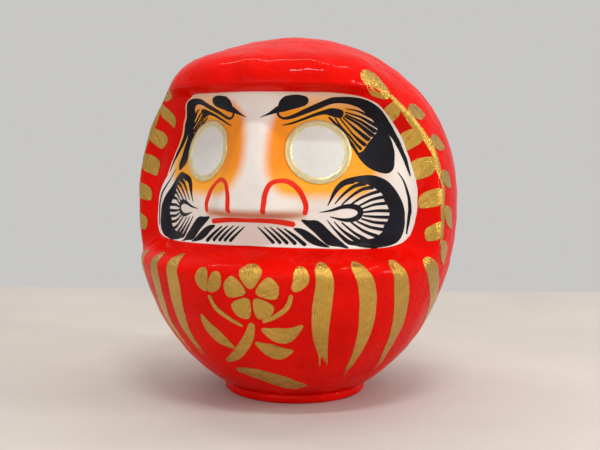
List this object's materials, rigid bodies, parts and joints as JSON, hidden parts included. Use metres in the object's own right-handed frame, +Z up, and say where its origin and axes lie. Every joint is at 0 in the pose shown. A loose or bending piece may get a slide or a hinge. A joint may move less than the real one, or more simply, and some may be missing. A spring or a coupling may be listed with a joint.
{
  "type": "daruma doll",
  "caption": "Round hollow paper doll on a flat clay foot, with a hooded body, a recessed painted face, blank raised eyes and gold brushwork.",
  "frame": {"origin": "on the table, under the middle of the doll", "axes": "+Z up, the face looks along -Y, the doll's own left side is at +X"},
  "size_m": [0.1644, 0.1605, 0.18],
  "materials": {
    "red_lacquer": "glossy vermilion paint over moulded paper",
    "raw_paper": "bare matte paper",
    "face_white": "matte warm white ground with airbrushed orange and black brushwork",
    "eye_white": "plain matte white paint",
    "gold_paint": "metallic gold paint with brush streaks",
    "red_foot": "glossy vermilion paint over clay"
  },
  "bodies": {
    "root": {"shell_front": "red_lacquer", "shell_rear": "red_lacquer", "seam_strip": "raw_paper", "face_coat": "face_white", "eye_white_left": "eye_white", "eye_white_right": "eye_white", "eye_ring_left": "gold_paint", "eye_ring_right": "gold_paint", "foot_weight": "red_foot", "base_paper": "raw_paper"}
  },
  "joints": []
}
